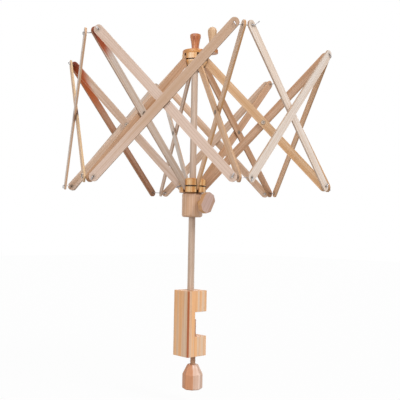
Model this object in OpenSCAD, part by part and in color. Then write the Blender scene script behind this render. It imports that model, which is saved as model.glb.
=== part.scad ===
// Umbrella swift: a folding wooden yarn swift on a post with a table clamp.
// Millimetres, +Z up. The origin is where the post axis meets the table top,
// which is the underside of the upper jaw. The jaw opens towards +X.

/* [Slats] */
// Distance between the end holes of every slat
slat_length = 310; // [260:1:340]
// Width of a slat
slat_width = 15; // [12:0.5:18]
// Thickness of a slat
slat_thickness = 3; // [2:0.25:4]
// Hole at each end of a slat
slat_hole_d = 3; // [2.4:0.1:4]
// Gap between the two slats of a rib
rib_gap = 0.6; // [0.4:0.1:1.5]
// Gap between the crossing outer slats
outer_gap = 1; // [0.6:0.1:2]

/* [Umbrella] */
// Slope of the ribs as drawn
open_angle = 47; // [25:0.5:70]
// Turn of the first rib about the post
first_rib_angle = 6; // [0:1:59]
// Height of the upper hub's wire ring above the table top
upper_ring_z = 448.5; // [440:0.5:480]

/* [Wire] */
// Wire of the ties at the outer slat ends
tie_wire_d = 1.6; // [1.2:0.1:2]
// Tie wire left standing out beyond an outer slat
tie_tail = 4; // [2:0.5:8]
// How much thinner the bent arms of a tie are, all round
tie_arm_slim = 0.05; // [0.02:0.01:0.1]
// Wire of the two hub rings
ring_wire_d = 1.8; // [1.4:0.1:2.2]
// Thickness of the twisted wire ends of a hub ring
ring_tail_d = 2.2; // [1.9:0.1:2.4]
// How far the twisted wire ends stand out of the hub
ring_tail_out = 4; // [2:0.5:6]
// Bite of a hub ring into the floor of its groove
ring_bite = 0.1; // [0.05:0.05:0.2]

/* [Rib rivets] */
// Shank of the tubular rivet where two rib slats cross
rivet_d = 3.2; // [2.4:0.1:4]
// Head of the rivet
rivet_head_d = 7; // [5:0.5:9]
// Thickness of a rivet head
rivet_head_t = 0.8; // [0.5:0.1:1.2]
// Hole through the rivet
rivet_bore_d = 1.8; // [1:0.1:2]
// Play of the turning slat round the rivet and under its head
rivet_play = 0.2; // [0.1:0.05:0.3]

/* [Hubs] */
// Diameter of a hub
hub_d = 48; // [46:1:60]
// Diameter of the circle of the wire ring
ring_d = 40; // [38:0.5:44]
// From the wire ring to the flat end of a hub
hub_flat_h = 11.5; // [10:0.5:16]
// From the wire ring to the domed end of the upper hub
hub_dome_h = 16.5; // [12:0.5:18]
// Diameter of the small flat left at the domed end
hub_dome_flat_d = 19; // [18:0.5:24]
// From the wire ring to where the dome begins
hub_dome_start = 3; // [2:0.5:6]
// From the wire ring to the rounded top of the lower hub
lower_top_h = 14; // [12:0.5:18]
// Diameter of the flat left on the rounded top
lower_top_flat_d = 41; // [30:0.5:43]
// From the wire ring to where the rounding of the top begins
lower_top_start = 11; // [8:0.5:11.5]
// Chamfer at the flat end
hub_chamfer = 1; // [0.5:0.25:2]
// Height of the ring groove
groove_w = 2.6; // [2.5:0.1:3.4]
// Play of a slat on each side in its hub slot, and at its floor
slot_play = 0.4; // [0.3:0.1:0.8]

/* [Post] */
// Diameter of the post
post_d = 12; // [10:0.5:14]
// Play all round between the post and what turns or slides on it
post_play = 0.3; // [0.2:0.05:0.5]
// Gap from the post's top end to the crank plate
post_top_gap = 1; // [0.5:0.5:3]
// Chamfer at the post's top end
post_chamfer = 0.8; // [0.4:0.1:1.5]
// Cross pin that carries the upper hub
stop_pin_d = 3; // [2:0.25:4]
// Length of the cross pin
stop_pin_length = 26; // [20:1:27]
// Direction of the cross pin
stop_pin_angle = 158; // [0:1:180]
// Gap from the cross pin to the hub
stop_pin_gap = 0.3; // [0.2:0.1:0.6]

/* [Crank] */
// Thickness of the crank plate
crank_t = 7; // [5:0.5:9]
// Round end of the crank plate, over the hub
crank_round_d = 46; // [44:1:56]
// Width of the arm
crank_arm_w = 22; // [16:1:26]
// Distance of the handle from the post axis
crank_reach = 33; // [28:1:50]
// Direction of the arm
crank_angle = 294; // [0:1:359]
// Height of the flared centre knob
centre_knob_h = 31; // [22:1:40]
// Diameter of the centre knob at its neck
centre_knob_neck_d = 13.6; // [11:0.2:16]
// Diameter of the centre knob at its waist
centre_knob_waist_d = 12.6; // [9:0.2:13.4]
// Diameter of the centre knob below its flare
centre_knob_swell_d = 15.4; // [13:0.2:17]
// Diameter of the centre knob at its rim
centre_knob_rim_d = 20; // [17:0.5:26]
// Height of the straight rim of the centre knob
centre_knob_rim_h = 5; // [3:0.5:8]
// Chamfer of the centre knob's top edge
centre_knob_chamfer = 1; // [0.5:0.25:2]
// Tenon of the centre knob in the crank plate
centre_tenon_d = 8; // [6:0.5:10]

/* [Handle] */
// Diameter of the steel handle stem
stem_d = 4; // [3:0.5:5]
// Length of bare stem under the handle
stem_bare = 13; // [6:1:20]
// Depth of the stem in the handle
stem_depth = 18; // [12:1:22]
// Play of the handle on its stem
stem_play = 0.1; // [0.05:0.01:0.2]
// Height of the handle
handle_h = 28.5; // [24:0.5:40]
// Diameter of the handle at its foot
handle_foot_d = 10.5; // [8:0.5:14]
// Diameter of the handle at its waist
handle_waist_d = 11.5; // [8:0.5:15]
// Greatest diameter of the handle
handle_d = 16.5; // [15:0.5:22]
// Height of the rounded top of the handle
handle_crown_h = 7.5; // [5:0.5:9]

/* [Collar] */
// Diameter of the locking collar
collar_d = 37; // [32:1:46]
// Height of the locking collar
collar_h = 43; // [36:1:56]
// Rounding of the collar's edges
collar_round = 4; // [1:0.5:6]
// Gap between the collar and the lower hub
collar_gap = 0.4; // [0.3:0.1:1]

/* [Thumbscrew] */
// Diameter of the thumbscrew's shank
thumb_d = 8; // [6:0.5:10]
// Depth of the thumbscrew below the top of the collar
thumb_drop = 18; // [14:1:26]
// Play of the shank in the collar and in the head
thumb_play = 0.1; // [0.05:0.01:0.2]
// Gap from the tightened shank to the post
thumb_tip_gap = 0.3; // [0.2:0.1:0.6]
// From the collar to the back of the head
thumb_standoff = 14; // [8:1:20]
// Length of the oblong head
head_length = 37; // [28:1:46]
// Width of the oblong head
head_width = 26; // [18:1:28]
// Thickness of the head
head_t = 10; // [5:0.5:12]
// Clipped corners of the head
head_clip = 7.5; // [4:0.5:8.5]
// Lean of the head from upright
head_lean = 28; // [0:1:90]

/* [Clamp block] */
// Size of the block along the jaw
block_length = 44; // [40:1:60]
// Size of the block across the jaw
block_width = 40; // [34:1:50]
// Height of the upper jaw
upper_jaw_h = 37; // [28:1:46]
// Opening of the jaw
jaw_gap = 43; // [34:1:60]
// Height of the lower jaw
lower_jaw_h = 34.5; // [24:0.5:44]
// Thickness of the wall behind the jaw
spine_t = 16.5; // [14:0.5:18]
// Chamfer of the upright edges
block_chamfer = 1.2; // [0.5:0.1:3]
// Wood left under the post's socket
socket_floor = 6; // [4:0.5:12]

/* [Clamp screw] */
// Diameter of the clamp screw
screw_d = 10; // [8:0.5:13]
// Play of the clamp screw in the lower jaw and in the knob
screw_play = 0.1; // [0.05:0.01:0.2]
// From the tip of the clamp screw to the upper jaw
screw_tip_gap = 15; // [5:1:40]
// Chamfer of the screw's tip
screw_chamfer = 1.2; // [0.5:0.1:2]
// Bare screw between the block and the knob
screw_bare = 17; // [16:1:30]
// Depth of the screw in the knob
screw_depth = 24; // [16:1:34]
// Size of the octagonal knob across its flats
knob_flats = 33.5; // [26:0.5:40]
// Size of the knob's top across its flats
knob_top_flats = 18; // [14:0.5:24]
// Height of the knob
knob_h = 43; // [36:0.5:56]
// Height of the tapered part of the knob
knob_taper_h = 17; // [10:0.5:24]
// Chamfer at the foot of the knob
knob_chamfer = 2; // [1:0.5:4]
// Turn of the knob about the screw as drawn
knob_turn = 26; // [0:1:45]

/* [Hidden] */
$fn = 64;
ribs = 6;
rib_step = 360 / ribs;
half_side = rib_step / 2;
cut = 1;
upper_tail_side = 6;
lower_tail_side = 3;

ring_r = ring_d / 2;
hub_r = hub_d / 2;
post_r = post_d / 2;
post_bore_r = post_r + post_play;
collar_r = collar_d / 2;

// Rise and run of a slat from one end hole to the other
slat_rise = slat_length * sin(open_angle);
slat_run = slat_length * cos(open_angle);
lower_ring_z = upper_ring_z - slat_rise;
outer_r = ring_r + slat_run;
rib_face = rib_gap / 2;
rib_centre = rib_face + slat_thickness / 2;

// A tie this wide makes the outer slats as long as the rib slats at every slope
tie_half = ring_r / (2 * cos(half_side));
tie_nub = tie_wire_d;
tie_arm_d = tie_wire_d - 2 * tie_arm_slim;
layer_one = tie_wire_d + slat_thickness / 2;
layer_two = layer_one + slat_thickness + outer_gap;
side_r = outer_r * cos(half_side) + tie_half * sin(half_side);

slot_w = slat_thickness + 2 * slot_play;
slot_floor_r = ring_r - slat_width / 2 - slot_play;

crank_z = upper_ring_z + hub_flat_h;
crank_top_z = crank_z + crank_t;
handle_z = crank_top_z + stem_bare;
post_foot_z = socket_floor;
post_top_z = crank_z - post_top_gap;
stop_pin_z = upper_ring_z - hub_dome_h - stop_pin_gap - stop_pin_d / 2;

collar_top_z = lower_ring_z - hub_flat_h - collar_gap;
thumb_z = collar_top_z - thumb_drop;
thumb_tip_r = post_r + thumb_tip_gap;
head_back_r = collar_r + thumb_standoff;

jaw_x = spine_t - block_length / 2;
screw_x = (jaw_x + block_length / 2) / 2;
block_foot_z = -jaw_gap - lower_jaw_h;
knob_top_z = block_foot_z - screw_bare;
knob_foot_z = knob_top_z - knob_h;

slat_wood = "burlywood";
dark_wood = "peru";
block_wood = "tan";
steel = "silver";

// Points of an arc in the plane
function arc(centre, r, from, to, steps = 5) =
    [for (i = [0:steps]) centre + r * [cos(from + (to - from) * i / steps), sin(from + (to - from) * i / steps)]];

// Points of a curve from a to d that leaves towards b and arrives from c
function curve(a, b, c, d, steps = 10) =
    [for (i = [0:steps]) let (t = i / steps, s = 1 - t)
        s * s * s * a + 3 * s * s * t * b + 3 * s * t * t * c + t * t * t * d];

// Centre height and radius of the ball that rounds a hub from its side to its end
function ball_z(h, start, flat_r) =
    (hub_r * hub_r - flat_r * flat_r - h * h + start * start) / (2 * (h - start));
function ball_r(h, start, flat_r) = norm([flat_r, h + ball_z(h, start, flat_r)]);

// Rib frame: X points out along the rib, Y along the tangent
module at_rib(k) {
    rotate([0, 0, first_rib_angle + rib_step * (k - 1)])
        children();
}

// Side frame between rib k and the next: X points out, Y along the side
module at_side(k) {
    rotate([0, 0, first_rib_angle + rib_step * (k - 1) + half_side])
        children();
}

// A slat in the XY plane with round ends about its end holes
module slat() {
    difference() {
        union() {
            translate([0, -slat_width / 2, 0])
                cube([slat_length, slat_width, slat_thickness]);
            for (x = [0, slat_length])
                translate([x, 0, 0])
                    cylinder(d = slat_width, h = slat_thickness);
        }
        for (x = [0, slat_length])
            translate([x, 0, -cut])
                cylinder(d = slat_hole_d, h = slat_thickness + 2 * cut);
    }
}

// A rib slat, drilled at its middle for the rivet
module rib_slat(rivet_hole_d) {
    difference() {
        slat();
        translate([slat_length / 2, 0, -cut])
            cylinder(d = rivet_hole_d, h = slat_thickness + 2 * cut);
    }
}

// A hub about its wire ring at the origin, flat end up and rounded end down
module hub(slot_side, end_h, end_start, end_flat_d) {
    difference() {
        intersection() {
            rotate_extrude()
                polygon([
                    [post_bore_r, -end_h],
                    [hub_r, -end_h],
                    [hub_r, hub_flat_h - hub_chamfer],
                    [hub_r - hub_chamfer, hub_flat_h],
                    [post_bore_r, hub_flat_h]
                ]);
            translate([0, 0, ball_z(end_h, end_start, end_flat_d / 2)])
                sphere(r = ball_r(end_h, end_start, end_flat_d / 2));
        }
        for (k = [1:ribs])
            at_rib(k)
                translate([slot_floor_r, slot_side * rib_centre - slot_w / 2, -end_h - cut])
                    cube([hub_r, slot_w, end_h + hub_flat_h + 2 * cut]);
        rotate_extrude()
            translate([ring_r - ring_wire_d / 2 + ring_bite, -groove_w / 2])
                square([hub_r, groove_w]);
    }
}

// A hub's wire ring with its twisted ends standing out between two ribs
module hub_ring(tail_side) {
    rotate_extrude()
        translate([ring_r, 0])
            circle(d = ring_wire_d);
    at_side(tail_side)
        translate([ring_r, 0, 0])
            rotate([0, 90, 0])
                cylinder(d = ring_tail_d, h = hub_r - ring_r + ring_tail_out);
}

// A wire tie: a straight middle through the rib slat and two arms through the outer slats
module tie(right_layer, left_layer) {
    reach = slat_thickness / 2 + tie_tail;
    rotate([90, 0, 0])
        cylinder(d = tie_wire_d, h = 2 * (tie_half + tie_nub), center = true);
    translate([0, tie_half, 0])
        rotate([0, 90, half_side])
            cylinder(d = tie_arm_d, h = right_layer + reach);
    translate([0, -tie_half, 0])
        rotate([0, 90, -half_side])
            cylinder(d = tie_arm_d, h = left_layer + reach);
}

module clamp_block() {
    x = block_length / 2;
    y = block_width / 2;
    c = block_chamfer;
    color(block_wood)
        difference() {
            translate([0, 0, block_foot_z])
                linear_extrude(height = upper_jaw_h - block_foot_z)
                    polygon([
                        [-x, c - y], [c - x, -y], [x - c, -y], [x, c - y],
                        [x, y - c], [x - c, y], [c - x, y], [-x, y - c]
                    ]);
            translate([jaw_x, -y - cut, -jaw_gap])
                cube([block_length, block_width + 2 * cut, jaw_gap]);
            translate([0, 0, socket_floor])
                cylinder(d = post_d, h = upper_jaw_h);
            translate([screw_x, 0, block_foot_z - cut])
                cylinder(d = screw_d + 2 * screw_play, h = lower_jaw_h + 2 * cut);
        }
}

module post() {
    color(slat_wood)
        difference() {
            rotate_extrude()
                polygon([
                    [0, post_foot_z],
                    [post_r, post_foot_z],
                    [post_r, post_top_z - post_chamfer],
                    [post_r - post_chamfer, post_top_z],
                    [0, post_top_z]
                ]);
            translate([0, 0, stop_pin_z])
                rotate([0, 90, stop_pin_angle])
                    cylinder(d = stop_pin_d, h = post_d + 2 * cut, center = true);
        }
}

module hub_stop_pin() {
    color(steel)
        translate([0, 0, stop_pin_z])
            rotate([0, 90, stop_pin_angle])
                cylinder(d = stop_pin_d, h = stop_pin_length, center = true);
}

module clamp_screw() {
    r = screw_d / 2;
    foot = knob_top_z - screw_depth;
    color(block_wood)
        translate([screw_x, 0, 0])
            rotate_extrude()
                polygon([
                    [0, foot],
                    [r, foot],
                    [r, -screw_tip_gap - screw_chamfer],
                    [r - screw_chamfer, -screw_tip_gap],
                    [0, -screw_tip_gap]
                ]);
}

module clamp_knob() {
    r = knob_flats / 2;
    top = knob_top_flats / 2;
    shoulder_z = knob_top_z - knob_taper_h;
    color(block_wood)
        translate([screw_x, 0, 0])
            difference() {
                intersection_for (turn = [0:45:135])
                    rotate([90, 0, knob_turn + turn])
                        linear_extrude(height = 2 * knob_flats, center = true)
                            polygon([
                                [knob_chamfer - r, knob_foot_z], [r - knob_chamfer, knob_foot_z],
                                [r, knob_foot_z + knob_chamfer], [r, shoulder_z],
                                [top, knob_top_z], [-top, knob_top_z],
                                [-r, shoulder_z], [-r, knob_foot_z + knob_chamfer]
                            ]);
                translate([0, 0, knob_top_z - screw_depth - screw_play])
                    cylinder(d = screw_d + 2 * screw_play, h = screw_depth + screw_play + cut);
            }
}

module upper_hub() {
    color(dark_wood)
        translate([0, 0, upper_ring_z])
            hub(-1, hub_dome_h, hub_dome_start, hub_dome_flat_d);
}

module upper_hub_wire() {
    color(steel)
        translate([0, 0, upper_ring_z])
            hub_ring(upper_tail_side);
}

module crank_plate() {
    color(dark_wood)
        translate([0, 0, crank_z])
            rotate([0, 0, crank_angle])
                difference() {
                    union() {
                        cylinder(d = crank_round_d, h = crank_t);
                        translate([0, -crank_arm_w / 2, 0])
                            cube([crank_reach, crank_arm_w, crank_t]);
                        translate([crank_reach, 0, 0])
                            cylinder(d = crank_arm_w, h = crank_t);
                    }
                    translate([0, 0, -cut])
                        cylinder(d = centre_tenon_d, h = crank_t + 2 * cut);
                    translate([crank_reach, 0, -cut])
                        cylinder(d = stem_d, h = crank_t + 2 * cut);
                }
}

module centre_knob() {
    neck = centre_knob_neck_d / 2;
    rim = centre_knob_rim_d / 2;
    rim_z = centre_knob_h - centre_knob_rim_h;
    waist = centre_knob_waist_d / 2;
    swell = centre_knob_swell_d / 2;
    c = centre_knob_chamfer;
    flare = curve([neck, 0], [waist, rim_z / 3], [swell, rim_z * 2 / 3], [rim, rim_z]);
    color(dark_wood)
        translate([0, 0, crank_top_z])
            rotate_extrude()
                polygon(concat(
                    [[0, -crank_t], [centre_tenon_d / 2, -crank_t], [centre_tenon_d / 2, 0]],
                    flare,
                    [[rim, centre_knob_h - c], [rim - c, centre_knob_h], [0, centre_knob_h]]
                ));
}

module handle_stem() {
    color(steel)
        rotate([0, 0, crank_angle])
            translate([crank_reach, 0, crank_z])
                cylinder(d = stem_d, h = crank_t + stem_bare + stem_depth);
}

module handle_knob() {
    foot = handle_foot_d / 2;
    belly = handle_d / 2;
    crown_z = handle_h - handle_crown_h;
    bore = stem_d / 2 + stem_play;
    bore_h = stem_depth + stem_play;
    waist = handle_waist_d / 2;
    side = curve([foot, 0], [waist, crown_z / 3], [belly, crown_z * 2 / 3], [belly, crown_z]);
    crown = [for (a = [15:15:75]) [belly * cos(a), crown_z + handle_crown_h * sin(a)]];
    color(slat_wood)
        rotate([0, 0, crank_angle])
            translate([crank_reach, 0, handle_z])
                rotate_extrude()
                    polygon(concat(
                        [[bore, 0]], side, crown,
                        [[0, handle_h], [0, bore_h], [bore, bore_h]]
                    ));
}

module lower_hub() {
    color(dark_wood)
        translate([0, 0, lower_ring_z])
            mirror([0, 0, 1])
                hub(1, lower_top_h, lower_top_start, lower_top_flat_d);
}

module lower_hub_wire() {
    color(steel)
        translate([0, 0, lower_ring_z])
            hub_ring(lower_tail_side);
}

module locking_collar() {
    edge = collar_r - collar_round;
    color(slat_wood)
        translate([0, 0, collar_top_z - collar_h])
            difference() {
                rotate_extrude()
                    polygon(concat(
                        [[post_bore_r, 0]],
                        arc([edge, collar_round], collar_round, -90, 0),
                        arc([edge, collar_h - collar_round], collar_round, 0, 90),
                        [[post_bore_r, collar_h]]
                    ));
                translate([0, 0, collar_h - thumb_drop])
                    rotate([90, 0, 0])
                        cylinder(d = thumb_d + 2 * thumb_play, h = collar_d);
            }
}

module thumbscrew() {
    color(slat_wood)
        translate([0, -thumb_tip_r, thumb_z])
            rotate([90, 0, 0])
                cylinder(d = thumb_d, h = head_back_r - thumb_tip_r + head_t / 2);
}

module thumbscrew_head() {
    x = head_width / 2;
    y = head_length / 2;
    c = head_clip;
    color(slat_wood)
        translate([0, -head_back_r, thumb_z])
            rotate([90, 0, 0])
                difference() {
                    rotate([0, 0, -head_lean])
                        linear_extrude(height = head_t)
                            polygon([
                                [-x, c - y], [c - x, -y], [x - c, -y], [x, c - y],
                                [x, y - c], [x - c, y], [c - x, y], [-x, y - c]
                            ]);
                    translate([0, 0, -cut])
                        cylinder(d = thumb_d + 2 * thumb_play, h = head_t / 2 + thumb_play + cut);
                }
}

module upper_rib(k) {
    color(slat_wood)
        at_rib(k)
            translate([ring_r, -rib_face, upper_ring_z])
                rotate([90, 0, 0])
                    rotate([0, 0, -open_angle])
                        rib_slat(rivet_d);
}

module lower_rib(k) {
    color(slat_wood)
        at_rib(k)
            translate([ring_r, rib_face + slat_thickness, lower_ring_z])
                rotate([90, 0, 0])
                    rotate([0, 0, open_angle])
                        rib_slat(rivet_d + 2 * rivet_play);
}

module rib_rivet(k) {
    stack = 2 * slat_thickness + rib_gap + rivet_play;
    length = stack + 2 * rivet_head_t;
    color(steel)
        at_rib(k)
            translate([ring_r + slat_run / 2, -rib_face - slat_thickness, upper_ring_z - slat_rise / 2])
                rotate([-90, 0, 0])
                    difference() {
                        union() {
                            translate([0, 0, -rivet_head_t])
                                cylinder(d = rivet_d, h = length);
                            for (z = [-rivet_head_t, stack])
                                translate([0, 0, z])
                                    cylinder(d = rivet_head_d, h = rivet_head_t);
                        }
                        translate([0, 0, -rivet_head_t - cut])
                            cylinder(d = rivet_bore_d, h = length + 2 * cut);
                    }
}

module top_tie(k) {
    color(steel)
        at_rib(k)
            translate([outer_r, 0, upper_ring_z])
                tie(layer_one, layer_two);
}

module bottom_tie(k) {
    color(steel)
        at_rib(k)
            translate([outer_r, 0, lower_ring_z])
                tie(layer_two, layer_one);
}

// Outer slat from the top of rib k down to the bottom of the next rib
module falling_slat(k) {
    color(slat_wood)
        at_side(k)
            translate([side_r + layer_one - slat_thickness / 2, -slat_run / 2, upper_ring_z])
                rotate([90, 0, 90])
                    rotate([0, 0, -open_angle])
                        slat();
}

// Outer slat from the bottom of rib k up to the top of the next rib
module rising_slat(k) {
    color(slat_wood)
        at_side(k)
            translate([side_r + layer_two - slat_thickness / 2, slat_run / 2, upper_ring_z])
                rotate([90, 0, 90])
                    rotate([0, 0, 180 + open_angle])
                        slat();
}

clamp_block();
post();
hub_stop_pin();
clamp_screw();
clamp_knob();
upper_hub();
upper_hub_wire();
crank_plate();
centre_knob();
handle_stem();
handle_knob();
lower_hub();
lower_hub_wire();
locking_collar();
thumbscrew();
thumbscrew_head();
for (k = [1:ribs]) {
    upper_rib(k);
    lower_rib(k);
    rib_rivet(k);
    top_tie(k);
    bottom_tie(k);
    falling_slat(k);
    rising_slat(k);
}
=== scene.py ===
import math

import bmesh
import bpy
import numpy as np
from mathutils import Euler, Matrix, Vector


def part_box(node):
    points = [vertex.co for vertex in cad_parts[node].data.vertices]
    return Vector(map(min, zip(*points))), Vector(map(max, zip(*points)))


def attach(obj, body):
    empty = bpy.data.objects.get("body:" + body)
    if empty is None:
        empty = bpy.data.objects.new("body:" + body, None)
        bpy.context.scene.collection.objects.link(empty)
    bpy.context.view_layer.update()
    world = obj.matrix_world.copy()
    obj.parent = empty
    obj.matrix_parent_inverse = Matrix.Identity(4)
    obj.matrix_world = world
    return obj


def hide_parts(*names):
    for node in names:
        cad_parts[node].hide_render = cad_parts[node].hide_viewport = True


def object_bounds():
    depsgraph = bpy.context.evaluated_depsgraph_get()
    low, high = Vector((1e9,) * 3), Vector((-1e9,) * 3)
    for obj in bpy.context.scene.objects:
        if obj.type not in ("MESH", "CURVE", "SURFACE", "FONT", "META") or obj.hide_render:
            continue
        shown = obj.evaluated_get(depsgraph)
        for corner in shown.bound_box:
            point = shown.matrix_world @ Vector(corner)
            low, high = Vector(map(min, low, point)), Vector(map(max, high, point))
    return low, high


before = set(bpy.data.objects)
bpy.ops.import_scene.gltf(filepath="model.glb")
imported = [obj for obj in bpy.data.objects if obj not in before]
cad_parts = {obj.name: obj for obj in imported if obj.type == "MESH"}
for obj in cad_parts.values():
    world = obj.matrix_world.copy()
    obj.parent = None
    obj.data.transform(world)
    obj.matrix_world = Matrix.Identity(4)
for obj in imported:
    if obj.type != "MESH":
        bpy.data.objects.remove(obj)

cad_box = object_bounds()


# Clamp block: one length of straight-grained beech sawn to a C, with a jaw for
# the table edge, a socket for the post above and a bore for the screw below.
# The grain stands upright, so the sides show stripes and the ends show pores.
class Finish:
    """A socket of a finish. Sums on it add Math nodes."""

    def __init__(self, tree, socket=None):
        self.tree = tree
        self.socket = socket

    def node(self, kind, settings=None, sockets=None, output=0):
        """Any other node: its settings first, then the values or links of its sockets."""
        made = self.tree.nodes.new(kind)
        for name, value in (settings or {}).items():
            setattr(made, name, value)
        for name, value in (sockets or {}).items():
            if isinstance(value, Finish):
                self.tree.links.new(value.socket, made.inputs[name])
            else:
                made.inputs[name].default_value = value
        return Finish(self.tree, made.outputs[output])

    def other(self, output):
        """Another output of the same node."""
        return Finish(self.tree, self.socket.node.outputs[output])

    def sum(self, operation, first, second=0.0):
        return self.node("ShaderNodeMath", {"operation": operation}, {0: first, 1: second})

    def __add__(self, other):
        return self.sum("ADD", self, other)

    def __radd__(self, other):
        return self.sum("ADD", other, self)

    def __sub__(self, other):
        return self.sum("SUBTRACT", self, other)

    def __rsub__(self, other):
        return self.sum("SUBTRACT", other, self)

    def __mul__(self, other):
        return self.sum("MULTIPLY", self, other)

    def __truediv__(self, other):
        return self.sum("DIVIDE", self, other)

    def __pow__(self, other):
        return self.sum("POWER", self, other)

    def __abs__(self):
        return self.sum("ABSOLUTE", self)

    def between(self, low, high):
        """0 below low, 1 above high, and smooth between them."""
        steps = {"Value": self, "From Min": low, "From Max": high}
        return self.node("ShaderNodeMapRange", {"interpolation_type": "SMOOTHSTEP"}, steps)

    def tint(self, under, over):
        """The colour under where this is 0 and the colour over where it is 1."""
        return self.node("ShaderNodeMix", {"data_type": "RGBA"}, {0: self, 6: under, 7: over}, 2)

    def noise(self, size, seed, detail=2.0):
        """Cloudy value on this place, with clouds of that size in metres."""
        seed_shift = (seed * 3.1, seed * 7.7, seed * 1.3)
        scale = {0: self, 1: seed_shift, 3: tuple(1 / s for s in size)}
        place = self.node("ShaderNodeMapping", {"vector_type": "POINT"}, scale)
        return self.node("ShaderNodeTexNoise", None, {0: place, "Scale": 1.0, "Detail": detail})


def new_finish(name):
    """An empty material with its shader, and the finish to write on it."""
    material = bpy.data.materials.new(name)
    material.use_nodes = True
    return material, material.node_tree.nodes["Principled BSDF"], Finish(material.node_tree)


def feed(finish, shader, **sockets):
    """Links or sets the shader's sockets, named with _ for a space."""
    for name, value in sockets.items():
        socket = shader.inputs[name.replace("_", " ")]
        if isinstance(value, Finish):
            finish.tree.links.new(value.socket, socket)
        else:
            socket.default_value = value


def shade_of(colour, times):
    """The colour with its red, green and blue each taken that many times."""
    return (colour[0] * times[0], colour[1] * times[1], colour[2] * times[2], 1.0)


def wood(name, middle, turn, seed, pale, deep, ring=0.0028, pith=(0.05, 0.02), rough=0.5, coat=0.05,
         line=0.55, streak=0.5, turned=False, holes=None, sides=None, crossing_shadow=0.0, corner=None, shaded_half=None,
         slots=None):
    """Wood with its fibres along the X of turn, cut at pith metres from the middle of the tree."""
    material, shader, finish = new_finish(name)
    seat = finish.node("ShaderNodeTexCoord", None, None, "Object")
    lie = {0: seat, "Location": middle, "Rotation": turn}
    place = finish.node("ShaderNodeMapping", {"vector_type": "TEXTURE"}, lie)
    along = finish.node("ShaderNodeSeparateXYZ", None, {0: place})
    across, through = along.other(1), along.other(2)
    # Growth rings wander a little along the board, and late wood is a thin darker line
    drift_size = (0.16, 0.03, 0.03)
    drift_most = 0.012
    board_slant = 0.02
    drift = place.noise(drift_size, seed) - 0.5
    from_pith_y = across + drift * drift_most - pith[0]
    from_pith_z = through + along * board_slant - pith[1]
    from_pith = finish.sum("SQRT", from_pith_y * from_pith_y + from_pith_z * from_pith_z)
    growth = finish.sum("FRACT", from_pith / ring)
    late = growth ** 4 * (1 - growth.between(0.95, 1.0))
    # Broad stripes, fine fibres and short dark rays lie along the grain
    stripe_size = (0.4, 0.007, 0.007)
    fibre_size = (0.03, 0.0007, 0.0007)
    ray_size = (0.0026, 0.00045, 0.00045)
    cloud_size = (0.09, 0.02, 0.02)
    stripe = place.noise(stripe_size, seed + 11)
    fibre = place.noise(fibre_size, seed + 23, detail=3.0)
    ray = place.noise(ray_size, seed + 37, detail=1.0).between(0.62, 0.74)
    cloud = place.noise(cloud_size, seed + 53)
    # End grain drinks the oil and goes darker
    fibre_axis = Euler(turn).to_matrix() @ Vector((1, 0, 0))
    facing = finish.node("ShaderNodeVectorMath", {"operation": "DOT_PRODUCT"},
                         {0: seat.other("Normal"), 1: fibre_axis}, "Value")
    end = abs(facing).between(0.55, 0.9)
    pore_size = (0.002, 0.0006, 0.0006)
    pore = place.noise(pore_size, seed + 71).between(0.52, 0.66)
    # The colours are laid one over another, each a deeper shade of the wood
    late_shade = (0.72, 0.6, 0.5)
    ray_shade = (0.66, 0.54, 0.45)
    end_shade = (0.62, 0.5, 0.42)
    stripes = stripe.between(0.36, 0.66) * streak * 1.5
    figure = stripes + (fibre - 0.5) * 0.5 + (cloud - 0.5) * 0.8 + 0.5 - streak * 0.75
    colour = figure.between(0.0, 1.0).tint(pale + (1.0,), deep + (1.0,))
    colour = (late * line).tint(colour, shade_of(deep, late_shade))
    colour = (ray * (1 - end) * 0.35).tint(colour, shade_of(deep, ray_shade))
    colour = (end * (0.45 + pore * 0.35)).tint(colour, shade_of(deep, end_shade))
    height = fibre * 0.6 - ray * 0.5 - late * 0.25 - end * pore
    gloss = rough + (fibre - 0.5) * 0.22 + ray * 0.1 + end * 0.15
    if turned:
        # The lathe leaves fine rings round a turned piece
        lathe_size = (0.2, 0.2, 0.0006)
        lathe = seat.noise(lathe_size, seed + 91)
        height = height + lathe * 0.9
        gloss = gloss + (lathe - 0.5) * 0.12
    if holes:
        # Wire and rivets leave a grey ring on the wood, and handling pales the long edges
        reach, half_width, riveted, end_stain_and_shade = holes
        wire_grey = (0.2, 0.15, 0.11, 1.0)
        worn_shade = (1.06, 1.04, 1.0)
        beyond = abs(along) - reach
        from_end = finish.sum("SQRT", beyond * beyond + across * across)
        if riveted:
            from_rivet = finish.sum("SQRT", along * along + across * across)
            from_end = finish.sum("MINIMUM", from_end, from_rivet)
        rubbed = 1 - from_end.between(0.0018, 0.0062)
        colour = (rubbed * (0.25 + stripe * 0.4)).tint(colour, wire_grey)
        if end_stain_and_shade:
            # Towards the top end the slat is painted orange, darkest at the end: partly stained, partly
            # painted shade from the neighbouring slats
            length, strength, stain_shade_tone, end_dark, lean = end_stain_and_shade
            end_darkening = (0.5, 0.35, 0.3)
            up_the_slat = along - across * lean + (stripe - 0.5) * 0.03
            stained_and_shaded = up_the_slat.between(reach - length, reach - length * 0.45)
            colour = (stained_and_shaded * strength).tint(colour, stain_shade_tone + (1.0,))
            darkest_at_end = (along + (fibre - 0.5) * 0.02).between(reach - length * 0.6, reach)
            colour = (darkest_at_end * end_dark).tint(colour, shade_of(stain_shade_tone, end_darkening))
        edge = abs(across).between(half_width - 0.0014, half_width - 0.0003)
        colour = (edge * (0.15 + fibre * 0.4)).tint(colour, shade_of(pale, worn_shade))
        gloss = gloss + edge * 0.08
    if sides:
        # Painted shade: the narrow sides are painted a dark amber brown for the shade they lie in, paler
        # where they catch the light
        face, side_shade_tone = sides
        square_on = finish.node("ShaderNodeVectorMath", {"operation": "DOT_PRODUCT"},
                                {0: seat.other("Normal"), 1: face}, "Value")
        narrow = 1 - abs(square_on).between(0.35, 0.8)
        colour = (narrow * (0.62 + (fibre - 0.5) * 0.9 - late * 0.35)).tint(colour, side_shade_tone + (1.0,))
    if crossing_shadow:
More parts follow.
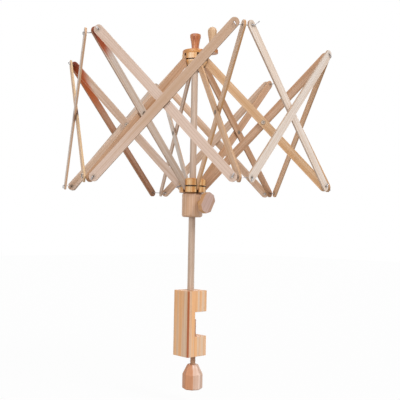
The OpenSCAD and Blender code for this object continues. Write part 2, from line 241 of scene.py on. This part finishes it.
        # Painted shadow: a dark patch where the slat crosses its neighbour, for the shadow one casts on the
        # other
        crossing_shadow_brown = (0.11, 0.03, 0.01, 1.0)
        crossed = 1 - abs(along + (stripe - 0.5) * 0.008).between(0.004, 0.012)
        colour = (crossed * crossing_shadow * (0.7 + fibre * 0.5)).tint(colour, crossing_shadow_brown)
    if corner:
        # A dark brown streak is painted down one upright corner
        corner_x, corner_y, dark = corner
        spot = finish.node("ShaderNodeSeparateXYZ", None, {0: seat})
        from_corner = finish.sum("MAXIMUM", abs(spot - corner_x), abs(spot.other(1) - corner_y))
        streaked = 1 - (from_corner + (stripe - 0.5) * 0.001).between(0.0018, 0.0038)
        colour = (streaked * (0.75 + fibre * 0.3)).tint(colour, dark + (1.0,))
    if shaded_half:
        # Painted shade: the half of the piece that faces away from the key lamp is painted a warmer, darker
        # brown
        towards, warm = shaded_half
        beside = finish.node("ShaderNodeVectorMath", {"operation": "DOT_PRODUCT"},
                             {0: seat, 1: towards}, "Value")
        warmed = (beside - Vector(middle).dot(towards) + (stripe - 0.5) * 0.006).between(-0.0012, 0.0012)
        colour = (warmed * (0.6 + fibre * 0.4)).tint(colour, warm + (1.0,))
    if slots:
        # Painted shade: a dark line along the edges of the six slots stands for the shade inside them
        first, step, middle_off, half_width = slots
        slot_shade_brown = (0.15, 0.045, 0.012, 1.0)
        spot = finish.node("ShaderNodeSeparateXYZ", None, {0: seat})
        x, y = spot, spot.other(1)
        sector = finish.sum("FRACT", (finish.sum("ARCTAN2", y, x) - first) / step + 0.5) - 0.5
        from_axis = finish.sum("SQRT", x * x + y * y)
        from_slot = abs(from_axis * finish.sum("SINE", sector * step) - middle_off) - half_width
        slot_shaded = 1 - from_slot.between(0.0001, 0.0016)
        colour = (slot_shaded * (0.6 + fibre * 0.4)).tint(colour, slot_shade_brown)
    relief = finish.node("ShaderNodeBump", None, {"Strength": 0.22, "Distance": 0.0003, "Height": height})
    feed(finish, shader, Base_Color=colour, Roughness=gloss, Normal=relief, Coat_Weight=coat)
    shader.inputs["Coat Roughness"].default_value = 0.22
    shader.inputs["Specular IOR Level"].default_value = 0.4
    return material


def dress(node, material, ease=0.0):
    """A CAD node keeps its shape, takes this finish and has its sharp edges eased by that much."""
    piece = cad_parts[node]
    piece.material_slots[0].material = material
    if ease:
        weld = piece.modifiers.new("weld", "WELD")
        weld.merge_threshold = 0.000002
        flats = piece.modifiers.new("flats", "DECIMATE")
        flats.decimate_type = "DISSOLVE"
        flats.angle_limit = math.radians(0.5)
        bevel = piece.modifiers.new("eased_edges", "BEVEL")
        bevel.width = ease
        bevel.segments = 2
        bevel.limit_method = "ANGLE"
        bevel.angle_limit = math.radians(38)


def middle_of(node):
    """The middle of a CAD node's box."""
    low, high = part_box(node)
    return (low + high) / 2


upright = Euler((0, -math.pi / 2, 0))
block_pale = (0.67, 0.475, 0.325)
block_deep = (0.74, 0.4, 0.185)
block_streak = (0.31, 0.05, 0.0)
block_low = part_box("clamp_block")[0]
block_wood = wood("block_wood", middle_of("clamp_block"), upright, seed=71, pale=block_pale, deep=block_deep,
                  ring=0.0065, pith=(0.11, 0.09), rough=0.46, line=0.6, streak=0.7,
                  corner=(block_low.x, block_low.y, block_streak))
dress("clamp_block", block_wood, ease=0.0007)


# Clamp screw: a beech dowel with a coarse two-start thread cut on it, running
# up through the lower jaw until its end presses under the table.
# Its foot is glued into the knob.
def thread_rod(name, length, outer, depth, lead, starts, chamfer):
    """A threaded rod along +Z from the origin, chamfered at its far end."""
    around = 48
    rows_to_a_crest = 8
    root_flat = 0.15
    crest = lead / starts
    rows = math.ceil(length / crest * rows_to_a_crest)
    mesh = bmesh.new()
    rings = []
    for row in range(rows + 1):
        z = length * row / rows
        most = min(outer, outer - chamfer + (length - z))
        ring = []
        for step in range(around):
            angle = 2 * math.pi * step / around
            phase = (starts * (z / lead - angle / (2 * math.pi))) % 1.0
            groove = max(0.0, (1 + root_flat) * (1 - abs(2 * phase - 1)) - root_flat)
            r = min(most, outer - depth * (1 - groove))
            ring.append(mesh.verts.new((r * math.cos(angle), r * math.sin(angle), z)))
        rings.append(ring)
    for low, high in zip(rings, rings[1:]):
        for step in range(around):
            after = (step + 1) % around
            mesh.faces.new((low[step], low[after], high[after], high[step]))
    mesh.faces.new(list(reversed(rings[0])))
    mesh.faces.new(rings[-1])
    data = bpy.data.meshes.new(name)
    mesh.to_mesh(data)
    mesh.free()
    for face in data.polygons:
        face.use_smooth = len(face.vertices) == 4
    piece = bpy.data.objects.new(name, data)
    bpy.context.scene.collection.objects.link(piece)
    return piece


screw_low, screw_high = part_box("clamp_screw")
screw_middle = (screw_low + screw_high) / 2
screw_length = screw_high.z - screw_low.z
thread_lead = 0.005
thread_starts = 2
screw_wood = wood("screw_wood", screw_middle, upright, seed=5, pale=(0.58, 0.38, 0.25),
                  deep=(0.46, 0.24, 0.13), ring=0.004, pith=(0.03, 0.02), rough=0.5)
screw = thread_rod("threaded_clamp_screw", screw_length, outer=0.005, depth=0.00105,
                   lead=thread_lead, starts=thread_starts, chamfer=0.0012)
screw.data.transform(Matrix.Translation((screw_middle.x, screw_middle.y, screw_low.z)))
screw.data.materials.append(screw_wood)
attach(screw, "clamp_screw")
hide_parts("clamp_screw")


# Clamp knob: an eight-sided beech grip with a tapered top, sawn, sanded and
# glued to the foot of the screw. Its side away from the key lamp is painted a
# darker brown, as painted shade.
away_from_key = Vector((-0.75, 0.66, 0))
shaded_half_brown = (0.48, 0.18, 0.06)
knob_wood = wood("knob_wood", middle_of("clamp_knob"), upright, seed=8, pale=(0.68, 0.5, 0.41),
                 deep=(0.57, 0.37, 0.27), ring=0.005, pith=(0.06, 0.08), rough=0.45,
                 shaded_half=(away_from_key, shaded_half_brown))
dress("clamp_knob", knob_wood, ease=0.0006)


# Post: a 12 mm birch dowel, sanded smooth and pressed into the block. The
# hubs and the collar turn and slide on it.
post_wood = wood("post_wood", middle_of("post"), upright, seed=13, pale=(0.58, 0.45, 0.36),
                 deep=(0.48, 0.34, 0.25), ring=0.0034, pith=(0.04, 0.01), rough=0.48)
dress("post", post_wood)


# Stop pin: a short pin of drawn steel, driven through a cross hole in the
# post, that carries the upper hub.
def steel(name, seed, bright, dull, rough):
    """Drawn steel: bright, with dull patches and fine scratches."""
    material, shader, finish = new_finish(name)
    seat = finish.node("ShaderNodeTexCoord", None, None, "Object")
    patch_size = (0.006, 0.006, 0.006)
    scratch_size = (0.0004, 0.0004, 0.004)
    patch = seat.noise(patch_size, seed, detail=3.0)
    scratch = seat.noise(scratch_size, seed + 5)
    colour = (patch.between(0.42, 0.72) * 0.7).tint(bright + (1.0,), dull + (1.0,))
    gloss = rough + (patch - 0.4) * 0.25 + (scratch - 0.5) * 0.16
    relief = finish.node("ShaderNodeBump", None, {"Strength": 0.15, "Distance": 0.0001, "Height": scratch})
    feed(finish, shader, Base_Color=colour, Roughness=gloss, Normal=relief, Metallic=1.0)
    return material


wire_steel = steel("wire_steel", seed=2, bright=(0.42, 0.41, 0.42), dull=(0.2, 0.19, 0.19), rough=0.3)
dress("hub_stop_pin", wire_steel)


# Locking collar: a turned birch sleeve that slides on the post under the lower
# hub, with rounded edges and a threaded side hole for the thumbscrew.
collar_wood = wood("collar_wood", middle_of("locking_collar"), upright, seed=17, pale=(0.68, 0.46, 0.33),
                   deep=(0.58, 0.35, 0.21), ring=0.0042, pith=(0.035, 0.03), rough=0.46, turned=True)
dress("locking_collar", collar_wood)


# Thumbscrew: a threaded birch peg that pinches the post, with a flat oblong
# head whose corners are clipped for the fingers.
sideways = Euler((0, 0, math.pi / 2))
peg_low, peg_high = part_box("thumbscrew")
peg_middle = (peg_low + peg_high) / 2
peg_length = peg_high.y - peg_low.y
peg_wood = wood("peg_wood", peg_middle, sideways, seed=19, pale=(0.64, 0.38, 0.14), deep=(0.5, 0.24, 0.06),
                ring=0.003, rough=0.5)
peg = thread_rod("threaded_thumbscrew", peg_length, outer=0.004, depth=0.00085,
                 lead=thread_lead, starts=thread_starts, chamfer=0.0006)
laid_over = Matrix.Rotation(-math.pi / 2, 4, "X")
peg.data.transform(Matrix.Translation((peg_middle.x, peg_low.y, peg_middle.z)) @ laid_over)
peg.data.materials.append(peg_wood)
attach(peg, "thumbscrew")
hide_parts("thumbscrew")
head_lean = math.radians(28)
head_turn = Euler((0, -math.pi / 2 + head_lean, 0))
head_face = (0, 1, 0)
# Painted shade: the head's narrow rim is painted amber brown for the shade on its sides
head_side_shade = (0.58, 0.27, 0.05)
head_wood = wood("head_wood", middle_of("thumbscrew_head"), head_turn, seed=21, pale=(0.58, 0.4, 0.34),
                 deep=(0.49, 0.3, 0.21), ring=0.0035, pith=(0.05, 0.035), rough=0.45,
                 sides=(head_face, head_side_shade))
dress("thumbscrew_head", head_wood, ease=0.0008)


# Hubs: two turned birch discs under a warm varnish, each with six slots for
# the ribs and a groove for the wire ring that pins them. The upper one is domed
# below, and the lower one is a drum with a rounded top edge.
rib_step = math.radians(60)
first_rib = math.radians(6)
slot_off = 0.0018
slot_half = 0.0019
# The upper hub's paler, yellower tones are partly a painted highlight on its varnish
hub_tones = {
    "upper_hub": ((0.86, 0.62, 0.38), (0.66, 0.33, 0.11)),
    "lower_hub": ((0.82, 0.53, 0.24), (0.61, 0.26, 0.06)),
}
for hub, seed, slot_side in (("upper_hub", 27, -1), ("lower_hub", 31, 1)):
    hub_wood = wood(hub + "_wood", middle_of(hub), upright, seed, *hub_tones[hub],
                    ring=0.0036, pith=(0.045, 0.02), rough=0.34, coat=0.35, line=0.7, turned=True,
                    slots=(first_rib, rib_step, slot_side * slot_off, slot_half))
    dress(hub, hub_wood)


# Crank: a varnished birch plate on top of the upper hub, with a flared turned
# knob in the middle and a steel stem for the turning handle at its end.
crank_turn = math.radians(294)
crank_lie = Euler((0, 0, crank_turn))
crank_wood = wood("crank_wood", middle_of("crank_plate"), crank_lie, seed=35, pale=(0.64, 0.3, 0.085),
                  deep=(0.46, 0.14, 0.022), ring=0.0034, pith=(0.03, 0.06), rough=0.34, coat=0.35, line=0.7)
flare_wood = wood("flare_wood", middle_of("centre_knob"), upright, seed=39, pale=(0.57, 0.22, 0.08),
                  deep=(0.33, 0.07, 0.022), ring=0.003, pith=(0.03, 0.02), rough=0.3, coat=0.4, streak=0.8,
                  turned=True)
handle_wood = wood("handle_wood", middle_of("handle_knob"), upright, seed=43, pale=(0.66, 0.45, 0.28),
                   deep=(0.54, 0.31, 0.15), ring=0.003, pith=(0.03, 0.025), rough=0.42, coat=0.15,
                   turned=True)
dress("crank_plate", crank_wood, ease=0.0007)
dress("centre_knob", flare_wood)
dress("handle_stem", wire_steel)
dress("handle_knob", handle_wood)


# Slats: 24 birch strips of one length with rounded ends, a wire hole at each
# end and, in the ribs, a tubular rivet at the middle where two of them cross.
# Every strip has its own grain and a small random shift of tone, and its listed
# tone is partly painted light and shade: paler where the strip faces the lamps,
# deeper and more orange where it lies in shade.
def slat_lie(node):
    """The middle of a slat and the turn that puts X along it and Z through it."""
    points = np.array([v.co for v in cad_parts[node].data.vertices])
    directions = np.linalg.svd(points - points.mean(0), full_matrices=False)[2]
    along, through = Vector(directions[0]), Vector(directions[2])
    if along.z < 0:
        along = -along
    if through.x + through.y / 3 < 0:
        through = -through
    axes = Matrix((along, through.cross(along), through)).transposed()
    return middle_of(node), axes.to_euler(), through


slat_reach = 0.155
slat_half_width = 0.0075
slat_tones = {
    "pale": ((0.75, 0.66, 0.59), (0.68, 0.545, 0.44)),
    "cream": ((0.66, 0.54, 0.46), (0.57, 0.43, 0.34)),
    "pink": ((0.58, 0.44, 0.36), (0.48, 0.32, 0.22)),
    "grey": ((0.6, 0.43, 0.32), (0.5, 0.32, 0.2)),
    "tan": ((0.66, 0.43, 0.25), (0.55, 0.31, 0.14)),
    "rose": ((0.56, 0.42, 0.34), (0.46, 0.3, 0.21)),
    "honey": ((0.75, 0.52, 0.35), (0.64, 0.38, 0.2)),
    "ash": ((0.66, 0.5, 0.4), (0.55, 0.37, 0.25)),
    "silver": ((0.58, 0.49, 0.43), (0.49, 0.37, 0.28)),
    "brown": ((0.53, 0.33, 0.21), (0.42, 0.22, 0.11)),
    "amber": ((0.42, 0.235, 0.15), (0.29, 0.125, 0.06)),
}
# Each strip's tone, partly painted light and shade: pale where it faces the lamps, amber or brown where it
# lies in shade
slat_tone_and_shade = {
    "upper_rib": ("brown", "ash", "ash", "brown", "honey", "tan"),
    "lower_rib": ("brown", "pale", "pink", "silver", "honey", "brown"),
    "falling_slat": ("grey", "silver", "tan", "rose", "pale", "honey"),
    "rising_slat": ("grey", "amber", "cream", "rose", "pale", "tan"),
}
# Each top-end mark, partly painted shade from the neighbouring slats: its length, strength and colour, how
# dark its end is, and its lean towards the slat's shaded edge
stains_and_shade = {
    "lower_rib_4": (0.052, 1.0, (0.32, 0.05, 0.0), 0.5, 0.0),
    "lower_rib_3": (0.055, 0.97, (0.36, 0.06, 0.0), 1.0, 2.5),
    "rising_slat_2": (0.12, 0.95, (0.38, 0.07, 0.0), 0.4, 0.0),
    "rising_slat_4": (0.3, 0.75, (0.43, 0.26, 0.15), 0.0, 0.0),
}
# Painted shade on the strips' narrow sides: dark amber brown, and paler on strips whose sides catch the
# light
usual_side_shade = (0.3, 0.145, 0.05)
# Painted shadows where two outer slats cross, and how strong each is
crossing_shadows = {"falling_slat_3": 0.95, "rising_slat_3": 0.6}
side_shade_tones = {"falling_slat_3": (0.58, 0.42, 0.25), "rising_slat_3": (0.72, 0.38, 0.16),
              "lower_rib_5": (0.44, 0.18, 0.02), "lower_rib_6": (0.37, 0.165, 0.03)}
seeds = np.random.default_rng(7)
for kind, tones in slat_tone_and_shade.items():
    for number, tone in enumerate(tones, 1):
        slat = f"{kind}_{number}"
        middle, turn, through = slat_lie(slat)
        pale, deep = slat_tones[tone]
        shift = seeds.uniform(0.94, 1.05)
        pith = (seeds.uniform(0.02, 0.09), seeds.uniform(-0.05, 0.05))
        seed = 50 + seeds.integers(1, 400) * 0.5
        ring = seeds.uniform(0.0026, 0.0044)
        slat_wood = wood(slat + "_wood", middle, turn, seed,
                         tuple(c * shift for c in pale), tuple(c * shift for c in deep),
                         ring=ring, pith=pith, rough=0.47, coat=0.06,
                         holes=(slat_reach, slat_half_width, kind.endswith("rib"), stains_and_shade.get(slat)),
                         sides=(through, side_shade_tones.get(slat, usual_side_shade)),
                         crossing_shadow=crossing_shadows.get(slat, 0.0))
        dress(slat, slat_wood, ease=0.0005)


# Rib rivets: a tubular steel rivet with rolled heads, browned with age, at the
# middle of each rib, where its two slats cross and turn.
rivet_steel = steel("rivet_steel", seed=9, bright=(0.27, 0.22, 0.18), dull=(0.13, 0.1, 0.075), rough=0.42)
for number in range(1, 7):
    dress(f"rib_rivet_{number}", rivet_steel)


# Ties: at each outer end of a rib one bent steel wire runs through the rib slat
# and out through the two outer slats. Its ends are turned over into hooks along
# the slats' faces, and on one tie an end has come loose and stands out.
def bent_wire(name, runs, thickness, metal):
    """Round wire along each run of points, as one piece. A run that ends where it starts is a ring."""
    around = 10
    mesh = bmesh.new()
    for run in runs:
        closed = (run[0] - run[-1]).length < thickness / 10
        points = run[:-1] if closed else run
        count = len(points)
        normal = None
        rings = []
        for number, point in enumerate(points):
            before = points[(number - 1) % count] if closed else points[max(number - 1, 0)]
            after = points[(number + 1) % count] if closed else points[min(number + 1, count - 1)]
            ahead = (after - before).normalized()
            if normal is None:
                normal = ahead.orthogonal().normalized()
            normal = (normal - ahead * normal.dot(ahead)).normalized()
            side = ahead.cross(normal)
            turns = [2 * math.pi * step / around for step in range(around)]
            spokes = [normal * math.cos(a) + side * math.sin(a) for a in turns]
            rings.append([mesh.verts.new(point + spoke * thickness / 2) for spoke in spokes])
        if closed:
            rings.append(rings[0])
        for low, high in zip(rings, rings[1:]):
            for step in range(around):
                after = (step + 1) % around
                mesh.faces.new((low[step], low[after], high[after], high[step]))
        if not closed:
            mesh.faces.new(list(reversed(rings[0])))
            mesh.faces.new(rings[-1])
    data = bpy.data.meshes.new(name)
    mesh.to_mesh(data)
    mesh.free()
    for face in data.polygons:
        face.use_smooth = len(face.vertices) == 4
    data.materials.append(metal)
    piece = bpy.data.objects.new(name, data)
    bpy.context.scene.collection.objects.link(piece)
    return piece


def rounded(corners, reach):
    """The run through these corners, each one bent over that length to both sides."""
    run = [corners[0]]
    for before, corner, after in zip(corners, corners[1:], corners[2:]):
        come = corner + (before - corner).normalized() * reach
        leave = corner + (after - corner).normalized() * reach
        for t in (0.0, 0.2, 0.4, 0.6, 0.8, 1.0):
            run.append(come * (1 - t) ** 2 + corner * 2 * t * (1 - t) + leave * t * t)
    run.append(corners[-1])
    return run


ring_r = 0.02
slope_at_rest = math.radians(47)
tie_circle = ring_r + 2 * slat_reach * math.cos(slope_at_rest)
tie_half = ring_r / (2 * math.cos(rib_step / 2))
inner_layer = 0.0031
outer_layer = 0.0071
past_the_slat = 0.0028
tie_wire = 0.0015
tie_bend = 0.0014
hook_sideways = -0.5
hook_upward = 0.866
hook_r = 0.0011
hook_length = 0.0034
hook_tip = math.radians(205)
hook_steps = 9
loose_end = Vector((0.004, 0.0105, 0.0068))
loose_bend = 1.6


def tie_arm(side, layer, up, loose=False):
    """From the bend of a tie out through one slat, then bent over along its face or left loose."""
    out = Vector((math.cos(rib_step / 2), side * math.sin(rib_step / 2), 0))
    along = Vector((-math.sin(rib_step / 2), side * math.cos(rib_step / 2), 0))
    over = (along * hook_sideways + Vector((0, 0, up * hook_upward))).normalized()
    hook = Vector((0, side * tie_half, 0)) + out * (layer + past_the_slat)
    if loose:
        end = out * loose_end.x + along * loose_end.y
        steps = np.linspace(0, 1, hook_steps)
        return [hook + end * s + Vector((0, 0, loose_end.z * s ** loose_bend)) for s in steps]
    arm = []
    for start, end, slide in ((0.0, math.pi / 2, 0.0), (math.pi / 2, hook_tip, hook_length)):
        for angle in np.linspace(start, end, hook_steps):
            run = hook_r * (1 - math.cos(angle)) + slide
            arm.append(hook + out * hook_r * math.sin(angle) + over * run)
    return arm


loose_tie = ("top", 5)
for level, hub, layers, up in (("top", "upper_hub_wire", (inner_layer, outer_layer), 1),
                               ("bottom", "lower_hub_wire", (outer_layer, inner_layer), -1)):
    for number in range(1, 7):
        right = tie_arm(1, layers[0], up, loose=(level, number) == loose_tie)
        left = tie_arm(-1, layers[1], -up)
        bends = [left[0], Vector((0, -tie_half, 0)), Vector((0, tie_half, 0)), right[0]]
        wire = list(reversed(left)) + rounded(bends, tie_bend)[1:-1] + right
        tie = bent_wire(f"hooked_{level}_tie_{number}", [wire], tie_wire, wire_steel)
        turn = Matrix.Rotation(first_rib + rib_step * (number - 1), 4, "Z")
        tie.data.transform(turn @ Matrix.Translation((tie_circle, 0, middle_of(hub).z)))
        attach(tie, f"{level}_tie_{number}")
        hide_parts(f"{level}_tie_{number}")


# Hub rings: a loop of dark steel wire in each hub's groove threads the six ribs,
# and its two ends are twisted together between two ribs and hang a little.
ring_steel = steel("ring_steel", seed=14, bright=(0.2, 0.17, 0.15), dull=(0.09, 0.07, 0.055), rough=0.4)
ring_wire = 0.0018
ring_steps = 73
tail_steps = 28
tail_out = 0.0108
tail_droop = 0.003
strand = 0.0011
twist_lead = 0.0036
for hub, tail_side in (("upper_hub", 6), ("lower_hub", 3)):
    height = middle_of(hub + "_wire").z
    turns = np.linspace(0, 2 * math.pi, ring_steps)
    circle = [Vector((ring_r * math.cos(a), ring_r * math.sin(a), 0)) for a in turns]
    hub_ring = bent_wire(hub + "_ring", [circle], ring_wire, ring_steel)
    strands = []
    for start in (0, math.pi):
        twisted = []
        for share in np.linspace(0, 1, tail_steps):
            x = tail_out * share
            a = start + 2 * math.pi * x / twist_lead
            sag = tail_droop * share ** 2
            twisted.append(Vector((ring_r + x, math.cos(a) * strand / 2, math.sin(a) * strand / 2 - sag)))
        strands.append(twisted)
    tail = bent_wire(hub + "_ring_tail", strands, strand, wire_steel)
    tail.data.transform(Matrix.Rotation(first_rib + rib_step * (tail_side - 0.5), 4, "Z"))
    for piece in (hub_ring, tail):
        piece.data.transform(Matrix.Translation((0, 0, height)))
        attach(piece, hub)
        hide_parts(hub + "_wire")


# Studio: a plain pale floor just below the knob when it is wound right down, a
# white surround, a broad lamp from the camera's right and weaker ones from its
# left and from behind the object.
def is_seen(finish):
    """1 for what the camera sees, straight or in steel, and 0 for light on the object."""
    path = finish.node("ShaderNodeLightPath", None, None, "Is Camera Ray")
    seen = path + path.other("Is Glossy Ray") + path.other("Is Transmission Ray")
    return finish.sum("MINIMUM", seen, 1.0)


knob_travel = 0.025
floor_gap = 0.001
floor_z = cad_box[0].z - knob_travel - floor_gap
floor_half = 6.0
floor_tone = (0.6, 0.6, 0.6, 1.0)
floor_glow = 0.95
plain_white = (1, 1, 1, 1)
floor_mesh = bmesh.new()
corners = ((-1, -1), (1, -1), (1, 1), (-1, 1))
floor_mesh.faces.new([floor_mesh.verts.new((x * floor_half, y * floor_half, floor_z)) for x, y in corners])
floor_data = bpy.data.meshes.new("floor")
floor_mesh.to_mesh(floor_data)
floor_mesh.free()
floor = bpy.data.objects.new("floor", floor_data)
bpy.context.scene.collection.objects.link(floor)
floor_white, floor_shader, floor_finish = new_finish("floor_white")
feed(floor_finish, floor_shader, Base_Color=floor_tone, Roughness=0.9)
glow = floor_finish.node("ShaderNodeEmission", None, {"Color": plain_white, "Strength": 1.0})
shown = floor_finish.node("ShaderNodeMixShader", None, {0: is_seen(floor_finish) * floor_glow, 2: glow})
floor_finish.tree.links.new(floor_shader.outputs[0], shown.socket.node.inputs[1])
floor_finish.tree.links.new(shown.socket, floor_finish.tree.nodes["Material Output"].inputs["Surface"])
floor_data.materials.append(floor_white)

surround = bpy.data.worlds.new("surround")
surround.use_nodes = True
bpy.context.scene.world = surround
sky = Finish(surround.node_tree)
soft = sky.node("ShaderNodeBackground", None, {"Color": plain_white, "Strength": 0.37})
white = sky.node("ShaderNodeBackground", None, {"Color": plain_white, "Strength": 1.0})
both = sky.node("ShaderNodeMixShader", None, {0: is_seen(sky), 1: soft, 2: white})
sky.tree.links.new(both.socket, sky.tree.nodes["World Output"].inputs["Surface"])


def broad_lamp(name, bearing, height, power, spread):
    """A soft far lamp that shines from that bearing and height, in degrees."""
    lamp = bpy.data.lights.new(name, "SUN")
    lamp.energy = power
    lamp.angle = math.radians(spread)
    holder = bpy.data.objects.new(name, lamp)
    side, up = math.radians(bearing), math.radians(height)
    away = Vector((math.cos(side) * math.cos(up), math.sin(side) * math.cos(up), math.sin(up)))
    holder.rotation_euler = away.to_track_quat("Z", "Y").to_euler()
    bpy.context.scene.collection.objects.link(holder)


broad_lamp("key_lamp", bearing=-88, height=42, power=1.9, spread=20)
broad_lamp("fill_lamp", bearing=-158, height=22, power=1.3, spread=45)
broad_lamp("back_lamp", bearing=48, height=32, power=1.0, spread=50)


# Camera: it stands where the photograph was taken from, level with the lower
# part of the post, and its turn and lens give the photograph's framing.
frame_width = 36.0
frame_pixels = 400
lens_pixels = 663.9
camera_data = bpy.data.cameras.new("camera")
camera_data.sensor_width = frame_width
camera_data.lens = frame_width * lens_pixels / frame_pixels
camera = bpy.data.objects.new("camera", camera_data)
camera_bearing = math.radians(-131.37)
camera_distance = 1.18907
camera_height = 0.1414
camera_yaw = math.radians(0.66)
camera_pitch = math.radians(2.72)
camera_roll = math.radians(1.07)
camera_x = camera_distance * math.cos(camera_bearing)
camera_y = camera_distance * math.sin(camera_bearing)
camera.matrix_world = (
    Matrix.Translation((camera_x, camera_y, camera_height))
    @ Matrix.Rotation(camera_bearing + math.pi / 2 - camera_yaw, 4, "Z")
    @ Matrix.Rotation(math.pi / 2 + camera_pitch, 4, "X")
    @ Matrix.Rotation(camera_roll, 4, "Z")
)
bpy.context.scene.collection.objects.link(camera)
bpy.context.scene.camera = camera
bpy.context.scene.view_settings.view_transform = "Standard"
